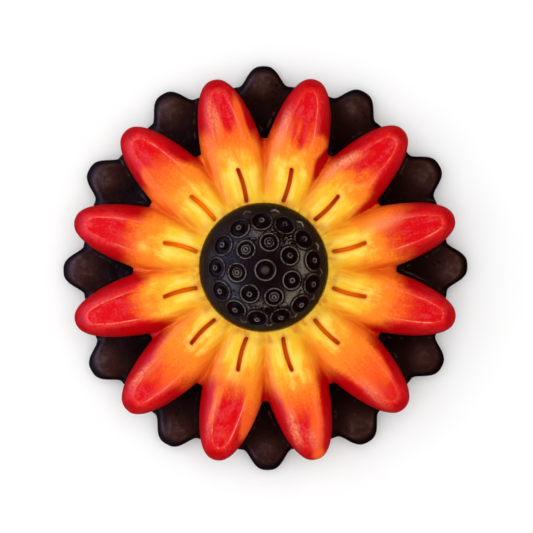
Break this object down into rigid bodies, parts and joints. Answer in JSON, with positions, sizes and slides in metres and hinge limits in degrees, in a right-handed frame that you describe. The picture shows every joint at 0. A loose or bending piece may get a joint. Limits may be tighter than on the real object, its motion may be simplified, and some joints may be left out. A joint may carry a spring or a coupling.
{
  "type": "glazed ceramic daisy flower ornament",
  "caption": "Hand-painted glossy ceramic daisy flower that lies face up on a flat back: dark scalloped back layer, fused yellow to red petals and a dark stamped dome.",
  "frame": {"origin": "middle of the flat underside of the back layer, on the surface the flower lies on", "axes": "+Z out of the flower's face, up from the surface it lies on; +Y towards the top of the flower as pictured, +X to its right"},
  "size_m": [0.15, 0.15, 0.0369],
  "materials": {
    "back_glaze": "glossy near-black brown glaze",
    "petal_glaze": "glossy hand-painted glaze, yellow at the root through orange to red at the tip",
    "dome_glaze": "glossy near-black glaze over stamped relief"
  },
  "bodies": {
    "root": {"back_layer": "back_glaze", "petal_layer": "petal_glaze", "centre_dome": "dome_glaze"}
  },
  "joints": []
}
